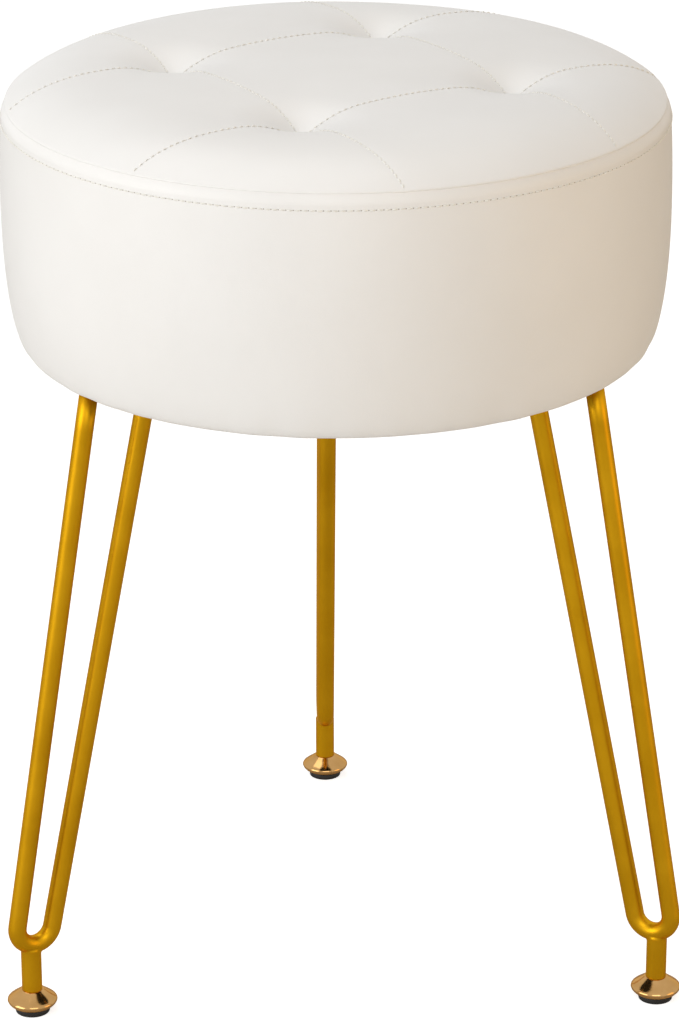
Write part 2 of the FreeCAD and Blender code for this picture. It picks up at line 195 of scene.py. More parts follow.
def mesh_piece(name, points, faces, smooth=True):
    """A mesh object from points and faces, linked to the scene."""
    mesh = bpy.data.meshes.new(name)
    mesh.from_pydata([tuple(p) for p in points], [], faces)
    mesh.update()
    if smooth:
        mesh.shade_smooth()
    piece = bpy.data.objects.new(name, mesh)
    bpy.context.scene.collection.objects.link(piece)
    return piece


def fit(piece, material, body, slot, *nodes):
    """Give a piece its material and its body, and hide the CAD nodes that it stands for; the slot
    is not used.
    """
    piece.data.materials.append(material)
    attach(piece, body)
    if nodes:
        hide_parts(*nodes)
    return piece


def ring_faces(rows, turns):
    """Quads between rows of points that close round an axis."""
    faces = []
    for i in range(rows - 1):
        for k in range(turns):
            m = (k + 1) % turns
            faces.append((i * turns + k, i * turns + m, (i + 1) * turns + m, (i + 1) * turns + k))
    return faces


def ring(angles, radius, z):
    """A row of points round the upright axis; radius and z may vary along it."""
    radius, z = radius + np.zeros_like(angles), z + np.zeros_like(angles)
    return np.column_stack([radius * np.cos(angles), radius * np.sin(angles), z])


def round_angles(turns):
    """Evenly spaced angles once round."""
    return np.linspace(0, 2 * np.pi, turns, endpoint=False)


def capped(rows, sides):
    """Points and faces of rings of points with both ends closed."""
    faces = ring_faces(len(rows), sides)
    faces.append(tuple(range(sides - 1, -1, -1)))
    faces.append(tuple(range((len(rows) - 1) * sides, len(rows) * sides)))
    return np.concatenate(rows), faces


def lathe(profile, turns, closed=False):
    """Turn a profile of (radius, z) points round the axis, capped or closed on itself."""
    rows = [ring(round_angles(turns), r, z) for r, z in profile]
    if not closed:
        return capped(rows, turns)
    faces = ring_faces(len(rows), turns)
    last = (len(rows) - 1) * turns
    for k in range(turns):
        m = (k + 1) % turns
        faces.append((last + k, last + m, m, k))
    return np.concatenate(rows), faces


def at_leg(points, angle, reach=0.0):
    """Points drawn for a leg that points along +X, turned and moved to their leg."""
    c, s = math.cos(angle), math.sin(angle)
    x, y = points[:, 0] + reach, points[:, 1]
    turned = np.column_stack([x * c - y * s, x * s + y * c, points[:, 2]])
    return turned + np.array(SEAT_AXIS)


def waves(angle, counts, phases):
    """A smooth irregular ripple round the seat, between about -1 and 1."""
    return sum(np.sin(n * angle + p) for n, p in zip(counts, phases)) / len(counts)


def crown_height(r):
    """Height of the untufted crown at a distance from the seat's axis."""
    rise = SEAT_TOP - SEAM_Z
    return SEAM_Z + rise * (1 - np.clip(r / SEAM_RADIUS, 0, 1) ** CROWN_POWER)


def tuft_dip(d):
    """How far a tuft pulls the leather down at a distance from its middle."""
    radius = TUFT_RADIUS / (math.sin(TUFT_FLANK_SLOPE) - math.sin(TUFT_EDGE_SLOPE))
    start = math.sin(TUFT_FLANK_SLOPE)
    inside = np.clip(d, 0, TUFT_RADIUS)
    slope_sine = start - inside / radius
    edge_height = math.cos(TUFT_EDGE_SLOPE) * radius
    flank = edge_height - np.sqrt(1 - slope_sine**2) * radius
    tail_length = 2 * TUFT_RADIUS
    tail_depth = math.tan(TUFT_EDGE_SLOPE) * tail_length / 3
    tail = tail_depth * np.clip(1 - (d - TUFT_RADIUS) / tail_length, 0, 1) ** 3
    return np.where(d < TUFT_RADIUS, flank + tail_depth, tail)


def grid_axes(x, y):
    """Coordinates along the two directions of the stitched lines."""
    c, s = math.cos(GRID_TURN), math.sin(GRID_TURN)
    return x * c + y * s, -x * s + y * c


def top_height(x, y, creased=True):
    """Height of the tufted top over a point, from the seat's axis."""
    u, v = grid_axes(x - GRID_SHIFT[0], y - GRID_SHIFT[1])
    z = crown_height(np.hypot(x, y))
    nearest = np.full_like(u, 1.0)
    for a in (-LINE_OFFSET, LINE_OFFSET):
        for b in (-LINE_OFFSET, LINE_OFFSET):
            d = np.hypot(u - a, v - b)
            z = z - tuft_dip(d)
            nearest = np.minimum(nearest, d)
    if creased:
        pull = np.exp(-((nearest / CREASE_EXTRA_REACH) ** 2))
        depth = CREASE_DEPTH + CREASE_EXTRA_DEPTH * pull
        width = CREASE_WIDTH * (1 + 2 * pull)
        across = np.minimum(np.abs(np.abs(u) - LINE_OFFSET), np.abs(np.abs(v) - LINE_OFFSET))
        z = z - depth * np.exp(-across / width)
    return z


def top_panel():
    """The tufted leather of the top, out to the crease of the seam."""
    angles = round_angles(TURNS)
    radii = np.linspace(TOP_MIDDLE_RADIUS, SEAM_RADIUS - SEAM_LIP, TOP_RINGS)
    rows = []
    for r in radii:
        x, y = r * np.cos(angles), r * np.sin(angles)
        rows.append(np.stack([x, y, top_height(x, y)], -1))
    edge = rows[-1]
    out = np.stack([np.cos(angles), np.sin(angles)], -1)
    for share in np.linspace(0.25, 1.0, 6):
        angle = SEAM_ROLL_START + share * SEAM_ROLL_SWEEP
        reach = SEAM_ROLL * (math.sin(angle) - math.sin(SEAM_ROLL_START))
        drop = SEAM_ROLL * (math.cos(SEAM_ROLL_START) - math.cos(angle)) * SEAM_ROLL_FLATNESS
        rows.append(np.column_stack([edge[:, :2] + out * reach, edge[:, 2] - drop]))
    points = np.concatenate(rows) + np.array(SEAT_AXIS)
    faces = ring_faces(len(rows), TURNS)
    faces.append(tuple(range(TURNS - 1, -1, -1)))
    return mesh_piece("top_leather", points, faces)


def side_profile():
    """The side panel's outline from the seam's crease down to the hem's fold."""
    seam_r, seam_z = SEAM_RADIUS - SEAM_CREASE, SEAM_Z - SEAM_STEP
    profile = [(seam_r, seam_z)]
    for t in np.linspace(0.1, 1.0, 8):
        r = seam_r + (SHOULDER_RADIUS - seam_r) * (1 - (1 - t) ** 1.6)
        profile.append((r, seam_z - (seam_z - SHOULDER_Z) * t))
    for t in np.linspace(0.03, 1.0, 22):
        z = SHOULDER_Z + (WIDEST_Z - SHOULDER_Z) * t
        profile.append((WIDEST_RADIUS - (WIDEST_RADIUS - SHOULDER_RADIUS) * (1 - t) ** 2, z))
    for t in np.linspace(0.05, 1.0, 26):
        angle = t * math.pi / 2
        r = WIDEST_RADIUS - HEM_DRAW_IN * (1 - math.cos(angle))
        profile.append((r, WIDEST_Z - (WIDEST_Z - SEAT_BOTTOM) * math.sin(angle)))
    return profile


def band_radius(z):
    """The side panel's plain radius at a height."""
    profile = side_profile()[::-1]
    return np.interp(z, [p[1] for p in profile], [p[0] for p in profile])


def band_relief(angle, z):
    """How far the side panel stands out from its plain outline: ripples, grooves and puckers."""
    relief = BAND_RIPPLE * waves(angle + z * 6, (3, 5, 8), (0.4, 2.0, 4.4))
    low = np.exp(-((z - SEAT_BOTTOM) / HEM_PUCKER_REACH) ** 2)
    relief = relief + HEM_PUCKER * low * waves(angle, (29, 37, 46), (0.3, 1.9, 5.1))
    groove = np.exp(-(((z - SEAM_Z + TOPSTITCH_DROP) / STITCH_GROOVE_WIDTH) ** 2))
    relief = relief - STITCH_GROOVE * groove
    arc = np.abs((angle - BACK_SEAM_ANGLE) * WIDEST_RADIUS)
    welt = np.exp(-((arc - BACK_SEAM_WELT_PLACE) / BACK_SEAM_WELT_WIDTH) ** 2)
    seam = np.exp(-arc / BACK_SEAM_WIDTH) - BACK_SEAM_WELT * welt
    return relief - BACK_SEAM_DEPTH * seam


def side_panel():
    """The side panel with its closing seam at the back, turned under the board in small pleats."""
    even = round_angles(TURNS)
    fine = BACK_SEAM_ANGLE + np.radians(np.linspace(-3, 3, 73))
    angles = np.unique(np.round(np.concatenate([even, fine]), 7))
    rows = [ring(angles, r + band_relief(angles, z), z) for r, z in side_profile()]
    for share in np.linspace(0.06, 1.0, 12):
        r = HEM_FOLD_RADIUS + (HEM_EDGE_RADIUS - HEM_FOLD_RADIUS) * share
        low = 4 * share * (1 - share) if r > COVER_RADIUS else 0.0
        pleat = np.clip(waves(angles, (41, 53, 67), (0.8, 2.6, 3.9)), 0, 1)
        plain = band_relief(angles, SEAT_BOTTOM) * max(0.0, 1 - 3 * share)
        rows.append(ring(angles, r + plain, SEAT_BOTTOM - HEM_PLEAT * low * pleat))
    points = np.concatenate(rows) + np.array(SEAT_AXIS)
    faces = [tuple(reversed(f)) for f in ring_faces(len(rows), len(angles))]
    return mesh_piece("side_leather", points, faces)


def topper_padding():
    """The foam on the drum, pulled in by the tufts."""
    angles = round_angles(PADDING_TURNS)
    inset = FOAM_INSET + TOPPER_EXTRA_INSET
    rows = []
    for r in np.linspace(1 * MM, SEAM_RADIUS - 3 * MM, 50):
        x, y = r * np.cos(angles), r * np.sin(angles)
        rows.append(np.stack([x, y, top_height(x, y, False) - inset], -1))
    for z in np.linspace(SEAM_Z - 4 * MM, FRAME_TOP, 8):
        rows.append(ring(angles, band_radius(z) - FOAM_INSET, z))
    points, faces = capped(rows, PADDING_TURNS)
    return mesh_piece("topper_padding", points + np.array(SEAT_AXIS), faces)


def side_padding():
    """The foam wrapped round the drum."""
    heights = np.linspace(FRAME_TOP - 0.5 * MM, SEAT_BOTTOM + 6 * MM, 16)
    outer = [(band_radius(z) - FOAM_INSET, z) for z in heights]
    inner = [(DRUM_RADIUS, heights[-1]), (DRUM_RADIUS, heights[0])]
    points, faces = lathe((outer + inner)[::-1], PADDING_TURNS, closed=True)
    return mesh_piece("side_padding", points + np.array(SEAT_AXIS), faces)


def stitched(name, places, tangents, normals, thread, hole_shade, hole_size):
    """A row of stitches, each a short arched thread that dives into the leather, with a flat dark
    disc at each needle hole whose colour is painted shade.
    """
    side = np.cross(tangents, normals)
    points, faces, marks = [], [], []
    steps = np.linspace(-1, 1, 7)
    around = round_angles(STITCH_SIDES)
    tube = ring_faces(len(steps), STITCH_SIDES)
    for p, t, n, s in zip(places, tangents, normals, side):
        base = len(points)
        lean = 0.12 * STITCH_WIDTH * chance.uniform(-1, 1)
        for step in steps:
            thick = STITCH_WIDTH / 2 * math.sqrt(max(0.08, 1 - 0.55 * step**4))
            lift = STITCH_RISE * (1 - step**2) - 0.45 * STITCH_RISE * step**4
            centre = p + t * (step * STITCH_LENGTH / 2) + n * lift + s * lean * step
            for a in around:
                points.append(centre + s * (thick * math.cos(a)) + n * (thick * 0.8 * math.sin(a)))
        faces += [tuple(base + k for k in face) for face in tube]
        marks += [0] * len(tube)
        # Needle hole: a flat disc just above the leather in the second material; its dark colour is
        # painted shade, since the hole has no depth.
        base = len(points)
        hole = p + t * (STITCH_PITCH / 2) + n * (0.05 * MM)
        for a in around:
            points.append(hole + hole_size * (t * math.cos(a) + 0.7 * s * math.sin(a)))
        faces.append(tuple(base + k for k in range(STITCH_SIDES)))
        marks.append(1)
    piece = mesh_piece(name, np.array(points) + np.array(SEAT_AXIS), faces)
    fit(piece, thread, "frame", "white_leather")
    piece.data.materials.append(hole_shade)
    piece.data.polygons.foreach_set("material_index", marks)
    return piece


def on_band(angles, z):
    """Places, tangents and normals of level stitches on the side panel."""
    r = band_radius(z) + band_relief(angles, z)
    places = ring(angles, r, z)
    tangents = np.column_stack([-np.sin(angles), np.cos(angles), np.zeros_like(angles)])
    normals = np.column_stack([np.cos(angles), np.sin(angles), np.zeros_like(angles)])
    return places, tangents, normals


def topstitch(thread, hole_shade):
    """The level row of stitches under the seam."""
    count = int(2 * math.pi * WIDEST_RADIUS / STITCH_PITCH)
    on_line = on_band(round_angles(count), SEAM_Z - TOPSTITCH_DROP)
    return stitched("seam_topstitch", *on_line, thread, hole_shade, TOPSTITCH_HOLE)


def back_stitch(name, offset, thread, hole_shade):
    """An upright row of stitches beside the closing seam at the back."""
    heights = np.arange(BACK_STITCH_LOW, BACK_STITCH_HIGH, STITCH_PITCH)
    angle = BACK_SEAM_ANGLE + offset / WIDEST_RADIUS
    radii = band_radius(heights) + band_relief(angle, heights)
    places = np.column_stack([radii * math.cos(angle), radii * math.sin(angle), heights])
    tangents = np.gradient(places, axis=0)
    tangents /= np.linalg.norm(tangents, axis=1)[:, None]
    out = np.array([math.cos(angle), math.sin(angle), 0.0])
    normals = out - tangents * (tangents @ out)[:, None]
    normals /= np.linalg.norm(normals, axis=1)[:, None]
    return stitched(name, places, tangents, normals, thread, hole_shade, BACK_STITCH_HOLE)


def grid_stitch(name, along_u, offset, thread, hole_shade):
    """A row of stitches on the top along one line of the tufted grid."""
    along, aside = grid_axes(*GRID_SHIFT) if along_u else grid_axes(*GRID_SHIFT)[::-1]
    reach = math.sqrt((SEAM_RADIUS - LINE_END_GAP) ** 2 - (offset + aside) ** 2)
    run = np.linspace(-reach, reach, 2400) - along
    c, s = math.cos(GRID_TURN), math.sin(GRID_TURN)
    u, v = (run, np.full_like(run, offset)) if along_u else (np.full_like(run, offset), run)
    x, y = u * c - v * s + GRID_SHIFT[0], u * s + v * c + GRID_SHIFT[1]
    line = np.column_stack([x, y, top_height(x, y)])
    length = np.concatenate([[0], np.cumsum(np.linalg.norm(np.diff(line, axis=0), axis=1))])
    stops = np.arange(STITCH_PITCH / 2, length[-1] - STITCH_PITCH / 2, STITCH_PITCH)
    places = np.column_stack([np.interp(stops, length, line[:, k]) for k in range(3)])
    slopes = np.gradient(line, axis=0)
    tangents = np.column_stack([np.interp(stops, length, slopes[:, k]) for k in range(3)])
    tangents /= np.linalg.norm(tangents, axis=1)[:, None]
    across = np.cross([0.0, 0.0, 1.0], tangents)
    across /= np.linalg.norm(across, axis=1)[:, None]
    normals = np.cross(tangents, across)
    return stitched(name, places, tangents, normals, thread, hole_shade, GRID_STITCH_HOLE)


def dust_cloth():
    """The black cloth stapled under the seat, with soft wrinkles and gaps for the bolts."""
    angles = round_angles(CLOTH_TURNS)
    radii = np.linspace(CLOTH_HOLE_RADIUS, COVER_RADIUS, CLOTH_RINGS)
    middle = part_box("dust_cover")
    z = (middle[0].z + middle[1].z) / 2
    points = []
    for r in radii:
        x, y = r * np.cos(angles), r * np.sin(angles)
        wrinkle = np.sin(x * 90 + 2 * np.sin(y * 40)) * np.sin(y * 70 + 1.3 * np.sin(x * 55))
        edge = np.clip((COVER_RADIUS - r) / CLOTH_FLAT_EDGE, 0, 1)
        points.append(ring(angles, r, z - CLOTH_WRINKLE * wrinkle * edge))
    points = np.concatenate(points)
    bolts = [
        at_leg(np.array([[x, side * BOLT_SIDE, 0.0]]), angle)[0] - np.array(SEAT_AXIS)
        for angle in LEGS.values() for x in BOLT_REACHES for side in (-1, 1)
    ]
    faces = []
    middle_face = tuple(range(CLOTH_TURNS - 1, -1, -1))
    for f in ring_faces(CLOTH_RINGS, CLOTH_TURNS) + [middle_face]:
        x, y, _ = points[list(f)].mean(axis=0)
        if all(math.hypot(x - b[0], y - b[1]) > CLOTH_BOLT_GAP for b in bolts):
            faces.append(tuple(reversed(f)))
    return mesh_piece("dust_cloth", points + np.array(SEAT_AXIS), faces)


def tangent_angle(top, side):
    """Where on the bend a straight run from its top arrives."""
    across, up = top[0] - BEND_CENTRE[0], top[1] - BEND_CENTRE[1]
    return math.atan2(up, across) + side * math.acos(BEND_RADIUS / math.hypot(across, up))


def rod_path():
    """The middle of a hairpin rod in its leg's upright plane, as (reach, z) points."""
    start = tangent_angle(ROD_OUTER_TOP, -1)
    end = tangent_angle(ROD_INNER_TOP, 1) - 2 * math.pi
    bend = [
        (BEND_CENTRE[0] + BEND_RADIUS * math.cos(a), BEND_CENTRE[1] + BEND_RADIUS * math.sin(a))
        for a in np.linspace(start, end, 40)
    ]
    outer_top, inner_top = np.array(ROD_OUTER_TOP), np.array(ROD_INNER_TOP)
    outer = [tuple(outer_top + (bend[0] - outer_top) * t) for t in np.linspace(0, 0.98, 14)]
    inner = [tuple(bend[-1] + (inner_top - bend[-1]) * t) for t in np.linspace(0.02, 1, 14)]
    return np.array(outer + bend + inner)


def swept(path, sides):
    """Rings of points round a path in a leg's upright plane."""
    tangents = np.gradient(path, axis=0)
    tangents /= np.linalg.norm(tangents, axis=1)[:, None]
    rows = []
    for (reach, z), (tx, tz) in zip(path, tangents):
        middle, out, level = np.array([reach, 0, z]), np.array([tz, 0, -tx]), np.array([0, 1, 0])
        rows.append(np.array([
            middle + ROD_RADIUS * (out * math.cos(a) + level * math.sin(a))
            for a in round_angles(sides)
        ]))
    return rows, tangents


def hairpin(name, angle):
    """A round rod swept along the hairpin, its ends cut level under the plate."""
    rows, tangents = swept(rod_path(), ROD_SIDES)
    for row, (tx, tz) in ((rows[0], tangents[0]), (rows[-1], tangents[-1])):
        row[:, 0] += (ROD_OUTER_TOP[1] - row[:, 2]) * tx / tz
        row[:, 2] = ROD_OUTER_TOP[1]
    points, faces = capped(rows, ROD_SIDES)
    return mesh_piece(name, at_leg(points, angle), faces)


def bead(name, middle, thick, angle):
    """A closed weld bead of uneven thickness along a ring of points."""
    count, sides = len(middle), BEAD_SIDES
    ahead = np.roll(middle, -1, axis=0) - np.roll(middle, 1, axis=0)
    ahead /= np.linalg.norm(ahead, axis=1)[:, None]
    upright = np.array([0.0, 0.0, 1.0])
    rows = []
    for k in range(count):
        across = np.cross(ahead[k], upright)
        across /= np.linalg.norm(across)
        other = np.cross(across, ahead[k])
        ripple = BEAD_RIPPLE * math.sin(k * 2 * math.pi * BEAD_RIPPLES / count)
        size = thick * (1 + ripple + chance.uniform(-BEAD_SPREAD, BEAD_SPREAD))
        rows.append(np.array([
            middle[k] + size * (across * math.cos(a) + other * math.sin(a))
            for a in round_angles(sides)
        ]))
    points = np.concatenate(rows)
    faces = []
    for k in range(count):
        for a in range(sides):
            b, m = (a + 1) % sides, (k + 1) % count
            faces.append((k * sides + a, m * sides + a, m * sides + b, k * sides + b))
    return mesh_piece(name, at_leg(points, angle), faces)


def socket_weld(name, angle):
    """The painted-over fillet where the boss meets the underside of the bend."""
    path = rod_path()
    near = np.abs(path[:, 0] - FOOT_RADIUS) < SOCKET_WELD_REACH
    path = path[(path[:, 1] < BEND_CENTRE[1]) & near]
    rod_points, rod_faces = capped(swept(path, WELD_SIDES)[0], WELD_SIDES)
    heights = np.linspace(SOCKET_WELD_LOW, SOCKET_WELD_HIGH, 8)
    stub_points, stub_faces = lathe([(SOCKET_RADIUS, z) for z in heights], WELD_SIDES)
    stub_points[:, 0] += FOOT_RADIUS
    faces = rod_faces + [tuple(i + len(rod_points) for i in f) for f in stub_faces]
    piece = mesh_piece(name, at_leg(np.concatenate([rod_points, stub_points]), angle), faces)
    remesh = piece.modifiers.new("join", "REMESH")
    remesh.mode = "VOXEL"
    remesh.voxel_size = SOCKET_WELD_VOXEL
    soften = piece.modifiers.new("soften", "SMOOTH")
    soften.iterations = SOCKET_WELD_SMOOTHING
    graph = bpy.context.evaluated_depsgraph_get()
    piece.data = bpy.data.meshes.new_from_object(piece.evaluated_get(graph))
    piece.modifiers.clear()
    piece.data.shade_smooth()
    return piece


def plate_weld(name, top, angle):
    """The bead where a rod's end meets the plate."""
    middle = ring(round_angles(BEAD_TURNS), ROD_RADIUS + PLATE_WELD_GAP, top[1] - PLATE_WELD_DROP)
    middle[:, 0] += top[0]
    return bead(name, middle, PLATE_WELD_THICK, angle)


def flange(name, angle):
    """A bright foot: a rounded rim over a narrower base, and a dome that rises to the neck."""
    outer = [
        (9.5, 4.9), (9.6, 4.0), (9.95, 3.75), (10.9, 4.05), (12.2, 4.95), (13.1, 5.95), (13.5, 6.9),
        (13.4, 7.5), (13.05, 8.0), (12.2, 8.75), (11.0, 9.65), (9.6, 10.65), (8.2, 11.65),
        (7.0, 12.55), (6.3, 13.1), (6.0, 13.3), (3.15, 13.3), (3.15, 5.0),
    ]
    points, faces = lathe([(r * MM, z * MM) for r, z in outer], FLANGE_TURNS, closed=True)
    return mesh_piece(name, at_leg(points, angle, FOOT_RADIUS), faces)


def pad(name, angle):
    """A rubber pad with a rounded edge and two grooves underneath."""
    outer = [
        (1.5, 0.0), (4.4, 0.0), (4.6, 0.35), (5.2, 0.35), (5.4, 0.0), (6.6, 0.0), (6.8, 0.35),
        (7.4, 0.35), (7.6, 0.0), (8.7, 0.0), (9.15, 0.25), (9.3, 0.8), (9.3, 4.95), (1.5, 4.95),
    ]
    points, faces = lathe([(r * MM, z * MM) for r, z in outer], PAD_TURNS)
    return mesh_piece(name, at_leg(points, angle, FOOT_RADIUS), faces)


def stud(name, node, angle):
    """A stud with a real helical thread."""
    low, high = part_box(node)
    angles = round_angles(STUD_TURNS)
    rows = []
    for z in np.arange(low.z, high.z, THREAD_PITCH / STUD_ROWS_PER_PITCH):
        phase = (z / THREAD_PITCH - angles / (2 * np.pi)) % 1.0
        cut = THREAD_DEPTH * np.abs(2 * phase - 1)
        rows.append(ring(angles, STUD_RADIUS - cut, z))
    points, faces = capped(rows, STUD_TURNS)
    return mesh_piece(name, at_leg(points, angle, FOOT_RADIUS), faces)


def camera():
    """The camera of the photograph."""
    data = bpy.data.cameras.new("camera")
    data.lens = CAMERA_LENS
    data.sensor_width = CAMERA_SENSOR
    data.clip_end = 20.0
    turn = Matrix.Rotation(-CAMERA_TURN, 3, "Z")
    forward = Vector((
        math.sin(CAMERA_YAW) * math.cos(CAMERA_PITCH),
        math.cos(CAMERA_YAW) * math.cos(CAMERA_PITCH),
        -math.sin(CAMERA_PITCH),
    ))
    right = forward.cross(Vector((0, 0, 1))).normalized()
    up = right.cross(forward)
    rolled_right = right * math.cos(CAMERA_ROLL) + up * math.sin(CAMERA_ROLL)
    rolled_up = up * math.cos(CAMERA_ROLL) - right * math.sin(CAMERA_ROLL)
    axes = turn @ Matrix((rolled_right, rolled_up, -forward)).transposed()
    place = SEAT_AXIS + turn @ Vector((0, -CAMERA_DISTANCE, CAMERA_HEIGHT))
    piece = bpy.data.objects.new("camera", data)
    piece.matrix_world = Matrix.Translation(place) @ axes.to_4x4()
    bpy.context.scene.collection.objects.link(piece)
    bpy.context.scene.camera = piece


def area_light(name, place, size, power, colour):
    """A soft lamp aimed at the stool."""
    data = bpy.data.lights.new(name, "AREA")
    data.shape = "RECTANGLE"
    data.size, data.size_y = size
    data.energy = power
    data.color = colour
    piece = bpy.data.objects.new(name, data)
    piece.location = place
    piece.rotation_mode = "QUATERNION"
    piece.rotation_quaternion = (Vector(LAMP_TARGET) - Vector(place)).to_track_quat("-Z", "Y")
    bpy.context.scene.collection.objects.link(piece)


def background():
    """A white surround for the camera and for gloss, and a plain level for everything else."""
    world = bpy.data.worlds.new("studio")
    bpy.context.scene.world = world
    world.use_nodes = True
    nodes, links = world.node_tree.nodes, world.node_tree.links
    nodes.clear()
    out = nodes.new("ShaderNodeOutputWorld")
    mix = nodes.new("ShaderNodeMixShader")
    plain = nodes.new("ShaderNodeBackground")
    plain.inputs["Color"].default_value = WORLD_COLOUR
    plain.inputs["Strength"].default_value = WORLD_STRENGTH
    white = nodes.new("ShaderNodeBackground")
    white.inputs["Color"].default_value = (1, 1, 1, 1)
    white.inputs["Strength"].default_value = 1.0
    path = nodes.new("ShaderNodeLightPath")
    seen = nodes.new("ShaderNodeMath")
    seen.operation = "MAXIMUM"
    also = nodes.new("ShaderNodeMath")
    also.operation = "MAXIMUM"
    links.new(path.outputs["Is Camera Ray"], seen.inputs[0])
    links.new(path.outputs["Is Glossy Ray"], seen.inputs[1])
    links.new(seen.outputs[0], also.inputs[0])
    links.new(path.outputs["Is Transmission Ray"], also.inputs[1])
    links.new(also.outputs[0], mix.inputs[0])
    links.new(plain.outputs[0], mix.inputs[1])
    links.new(white.outputs[0], mix.inputs[2])
    links.new(mix.outputs[0], out.inputs["Surface"])


def floor():
    """A white floor: the camera sees it lifted to white, and it keeps the shadow."""
    h = FLOOR_HALF
    points = [(-h, -h, 0), (h, -h, 0), (h, h, 0), (-h, h, 0)]
    piece = mesh_piece("floor", points, [(0, 1, 2, 3)], smooth=False)
    material = bpy.data.materials.new("floor_white")
    material.use_nodes = True
    nodes, links = material.node_tree.nodes, material.node_tree.links
    nodes.clear()
    out = nodes.new("ShaderNodeOutputMaterial")
    mix = nodes.new("ShaderNodeMixShader")
    plain = nodes.new("ShaderNodeBsdfDiffuse")
    plain.inputs["Color"].default_value = (0.8, 0.79, 0.77, 1)
    seen = nodes.new("ShaderNodeBsdfDiffuse")
    seen.inputs["Color"].default_value = (0.8, 0.8, 0.8, 1)
    lift = nodes.new("ShaderNodeEmission")
    lift.inputs["Color"].default_value = (1, 1, 1, 1)
    lift.inputs["Strength"].default_value = FLOOR_LIFT
    both = nodes.new("ShaderNodeAddShader")
    path = nodes.new("ShaderNodeLightPath")
    links.new(seen.outputs[0], both.inputs[0])
    links.new(lift.outputs[0], both.inputs[1])
    links.new(path.outputs["Is Camera Ray"], mix.inputs[0])
    links.new(plain.outputs[0], mix.inputs[1])
    links.new(both.outputs[0], mix.inputs[2])
    links.new(mix.outputs[0], out.inputs["Surface"])
    piece.data.materials.append(material)


class Surface:
    """A material with its colour, roughness and relief drawn by nodes in the object's own space."""

    def __init__(self, name, metallic=0.0):
        self.material = bpy.data.materials.new(name)
        self.material.use_nodes = True
        self.nodes = self.material.node_tree.nodes
        self.links = self.material.node_tree.links
        self.shader = self.nodes["Principled BSDF"]
        self.shader.inputs["Metallic"].default_value = metallic
        self.space = self.nodes.new("ShaderNodeTexCoord").outputs["Object"]
        self.normal = None

    def stretched(self, scale):
        mapping = self.nodes.new("ShaderNodeMapping")
        mapping.inputs["Scale"].default_value = scale
        self.links.new(self.space, mapping.inputs["Vector"])
        self.space = mapping.outputs[0]

    def noise(self, scale, detail=3.0):
        node = self.nodes.new("ShaderNodeTexNoise")
        node.inputs["Scale"].default_value = scale
        node.inputs["Detail"].default_value = detail
        self.links.new(self.space, node.inputs["Vector"])
        return node.outputs[0]

    def cells(self, scale, feature="F1"):
        node = self.nodes.new("ShaderNodeTexVoronoi")
        node.feature = feature
        node.inputs["Scale"].default_value = scale
        self.links.new(self.space, node.inputs["Vector"])
        return node.outputs["Distance"]

    def bands(self, scale, distortion, detail=2.0, direction="X"):
        node = self.nodes.new("ShaderNodeTexWave")
        node.bands_direction = direction
        node.inputs["Scale"].default_value = scale
        node.inputs["Distortion"].default_value = distortion
        node.inputs["Detail"].default_value = detail
        self.links.new(self.space, node.inputs["Vector"])
        return node.outputs["Fac"]

    def colour(self, factor, *stops):
        ramp = self.nodes.new("ShaderNodeValToRGB")
        elements = ramp.color_ramp.elements
        while len(elements) < len(stops):
            elements.new(0.5)
        for element, (place, rgb) in zip(elements, stops):
            element.position = place
            element.color = (*rgb, 1)
        self.links.new(factor, ramp.inputs[0])
        self.links.new(ramp.outputs[0], self.shader.inputs["Base Color"])

    def roughness(self, factor, low, high):
        spread = self.nodes.new("ShaderNodeMapRange")
        spread.inputs["To Min"].default_value = low
        spread.inputs["To Max"].default_value = high
        self.links.new(factor, spread.inputs["Value"])
        self.links.new(spread.outputs[0], self.shader.inputs["Roughness"])

    def relief(self, height, distance, strength=1.0):
        bump = self.nodes.new("ShaderNodeBump")
        bump.inputs["Strength"].default_value = strength
        bump.inputs["Distance"].default_value = distance
        self.links.new(height, bump.inputs["Height"])
        if self.normal:
            self.links.new(self.normal, bump.inputs["Normal"])
        self.normal = bump.outputs[0]
        self.links.new(self.normal, self.shader.inputs["Normal"])


def leather():
    look = Surface("white_leather")
    look.colour(look.noise(9, 4), (0.3, (0.835, 0.825, 0.805)), (0.7, (0.88, 0.872, 0.855)))
    look.roughness(look.noise(60, 2), 0.36, 0.5)
    look.relief(look.noise(45, 3), 0.0004, 0.25)
    look.relief(look.cells(950, "DISTANCE_TO_EDGE"), 0.00012, 0.35)
    look.relief(look.noise(2600, 2), 0.00006, 0.4)
    return look.material


def thread(name, dark, light):
    look = Surface(name)
    look.colour(look.noise(900, 2), (0.3, dark), (0.7, light))
    look.roughness(look.noise(500, 2), 0.55, 0.75)
    look.relief(look.bands(900, 0.6, 1.0, "DIAGONAL"), 0.00008, 0.7)
    return look.material


def gold_paint():
    look = Surface("gold_paint", metallic=0.85)
    look.shader.inputs["Specular Tint"].default_value = (1.0, 0.62, 0.12, 1)
    look.colour(look.noise(35, 3), (0.3, (0.52, 0.262, 0.004)), (0.7, (0.61, 0.322, 0.007)))
    look.roughness(look.noise(120, 3), 0.33, 0.44)
    look.relief(look.noise(900, 2), 0.00005, 0.35)
    look.relief(look.noise(160, 2), 0.00012, 0.15)
    return look.material


def rose_brass():
    look = Surface("rose_brass", metallic=1.0)
    look.shader.inputs["Specular Tint"].default_value = (1.0, 0.75, 0.5, 1)
    look.colour(look.noise(90, 3), (0.3, (0.46, 0.26, 0.09)), (0.7, (0.56, 0.33, 0.13)))
    look.roughness(look.noise(220, 3), 0.08, 0.17)
    look.relief(look.noise(500, 2), 0.00003, 0.25)
    return look.material


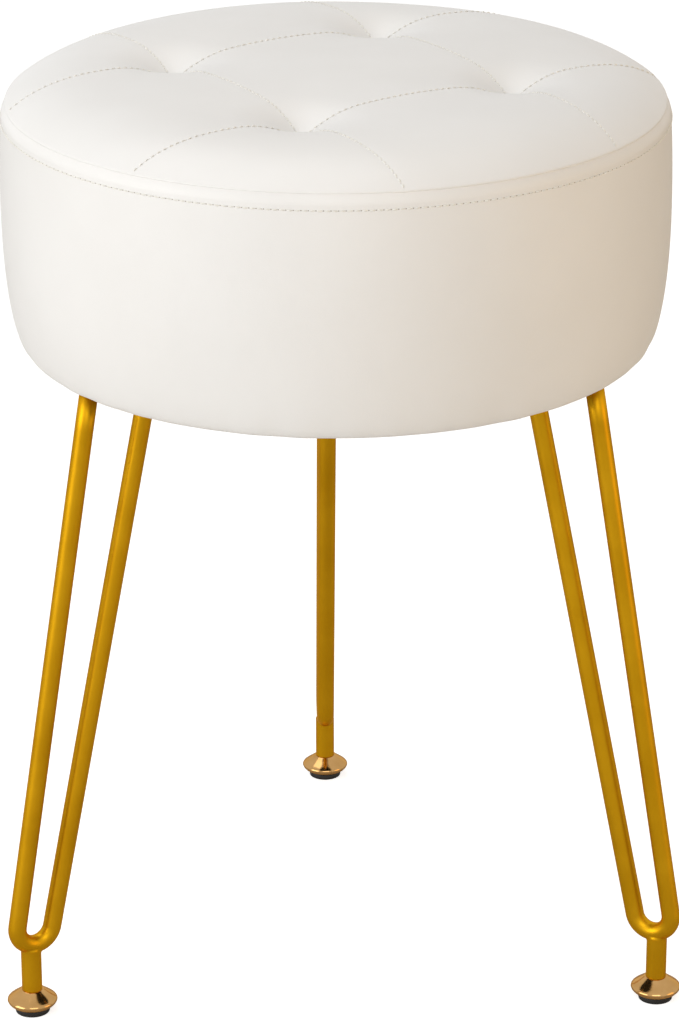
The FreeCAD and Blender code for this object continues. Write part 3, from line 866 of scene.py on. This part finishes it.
def zinc():
    look = Surface("zinc_steel", metallic=1.0)
    look.colour(look.cells(260), (0.0, (0.42, 0.43, 0.44)), (0.6, (0.62, 0.62, 0.6)))
    look.roughness(look.noise(150, 3), 0.28, 0.5)
    look.relief(look.noise(700, 3), 0.00004, 0.4)
    return look.material


def rubber():
    look = Surface("black_rubber")
    look.colour(look.noise(120, 3), (0.3, (0.004, 0.004, 0.004)), (0.8, (0.012, 0.011, 0.010)))
    look.roughness(look.noise(300, 3), 0.5, 0.75)
    look.relief(look.noise(1400, 2), 0.00006, 0.6)
    return look.material


def black_cloth():
    look = Surface("black_cloth")
    look.colour(look.noise(420, 4), (0.35, (0.010, 0.010, 0.011)), (0.7, (0.034, 0.034, 0.036)))
    look.roughness(look.noise(90, 2), 0.78, 0.95)
    look.relief(look.cells(420), 0.0002, 0.5)
    look.relief(look.noise(1500, 4), 0.0001, 0.6)
    return look.material


def foam():
    look = Surface("foam")
    look.colour(look.noise(20, 4), (0.3, (0.82, 0.76, 0.56)), (0.7, (0.88, 0.84, 0.68)))
    look.roughness(look.noise(200, 2), 0.85, 0.98)
    look.relief(look.cells(700), 0.0003, 0.8)
    return look.material


def board():
    look = Surface("board")
    chips = (0.0, (0.50, 0.34, 0.18)), (0.45, (0.66, 0.49, 0.30)), (0.9, (0.76, 0.61, 0.42))
    look.colour(look.cells(330), *chips)
    look.roughness(look.noise(120, 3), 0.6, 0.85)
    look.relief(look.noise(600, 4), 0.00015, 0.6)
    return look.material


def hoop_board():
    look = Surface("hoop_board")
    look.colour(look.noise(240, 5), (0.3, (0.26, 0.15, 0.075)), (0.7, (0.38, 0.24, 0.13)))
    look.roughness(look.noise(80, 2), 0.5, 0.7)
    look.relief(look.noise(1500, 3), 0.0001, 0.5)
    return look.material


def batten_wood():
    look = Surface("batten_wood")
    look.stretched((1.0, 1.0, 0.12))
    grain = (0.0, (0.62, 0.42, 0.20)), (0.6, (0.78, 0.60, 0.36)), (1.0, (0.83, 0.67, 0.44))
    look.colour(look.bands(26, 5.0, 3.0), *grain)
    look.roughness(look.noise(200, 2), 0.55, 0.75)
    look.relief(look.noise(900, 3), 0.0001, 0.5)
    return look.material


# Painted shade: these grey-brown discs stand for the shade inside the needle holes, which are not
# cut into the leather.
def needle_hole_shade():
    look = Surface("needle_hole_shade")
    look.colour(look.noise(400, 2), (0.3, (0.42, 0.38, 0.32)), (0.7, (0.50, 0.46, 0.40)))
    look.roughness(look.noise(300, 2), 0.7, 0.9)
    look.relief(look.noise(900, 2), 0.00005, 0.5)
    return look.material


def repaint(material, *nodes):
    """Give CAD nodes that stay in sight their material."""
    for node in nodes:
        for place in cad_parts[node].material_slots:
            place.material = material


bpy.context.scene.view_settings.view_transform = "Standard"
camera()
for lamp in LAMPS:
    area_light(*lamp)
background()
floor()

leather_look = leather()
seam_thread = thread("seam_thread", (0.82, 0.80, 0.74), (0.93, 0.92, 0.87))
hole_shade = needle_hole_shade()
gold, brass, steel, black = gold_paint(), rose_brass(), zinc(), rubber()
foam_look, cloth_look = foam(), black_cloth()

fit(top_panel(), leather_look, "frame", "white_leather", "top_cover")
fit(side_panel(), leather_look, "frame", "white_leather", "side_band")
fit(topper_padding(), foam_look, "frame", "foam", "topper_foam")
fit(side_padding(), foam_look, "frame", "foam", "side_foam")

topstitch(seam_thread, hole_shade)
back_stitch("back_stitch_a", -BACK_STITCH_OFFSET, seam_thread, hole_shade)
back_stitch("back_stitch_b", BACK_STITCH_OFFSET, seam_thread, hole_shade)
lines = [(along_u, offset) for along_u in (True, False) for offset in (-LINE_OFFSET, LINE_OFFSET)]
for number, (along_u, offset) in enumerate(lines, 1):
    grid_stitch(f"grid_stitch_{number}", along_u, offset, seam_thread, hole_shade)

cloth = fit(dust_cloth(), cloth_look, "frame", "black_cloth", "dust_cover")

for leg, angle in LEGS.items():
    fit(hairpin(leg + "_rod", angle), gold, "frame", "gold_paint", leg + "_hairpin_rod")
    fit(socket_weld(leg + "_socket_weld", angle), gold, "frame", "gold_paint")
    fit(plate_weld(leg + "_outer_weld", ROD_OUTER_TOP, angle), gold, "frame", "gold_paint")
    fit(plate_weld(leg + "_inner_weld", ROD_INNER_TOP, angle), gold, "frame", "gold_paint")
    fit(flange(leg + "_flange", angle), brass, leg + "_foot", "rose_brass", leg + "_foot_flange")
    fit(pad(leg + "_pad", angle), black, leg + "_foot", "black_rubber", leg + "_foot_pad")
    threaded = stud(leg + "_stud", leg + "_leveller_stud", angle)
    fit(threaded, steel, leg + "_stud", "zinc_steel", leg + "_leveller_stud")

repaint(board(), "top_board", "base_board")
repaint(hoop_board(), "side_hoop")
repaint(batten_wood(), "frame_battens")
repaint(thread("twine", (0.60, 0.50, 0.33), (0.74, 0.65, 0.48)), "tuft_cords")
repaint(steel, "tuft_washers", "cover_staples", "t_nuts", "leg_washers", "leg_bolts")
for leg in LEGS:
    repaint(gold, leg + "_leg_plate", leg + "_foot_socket")
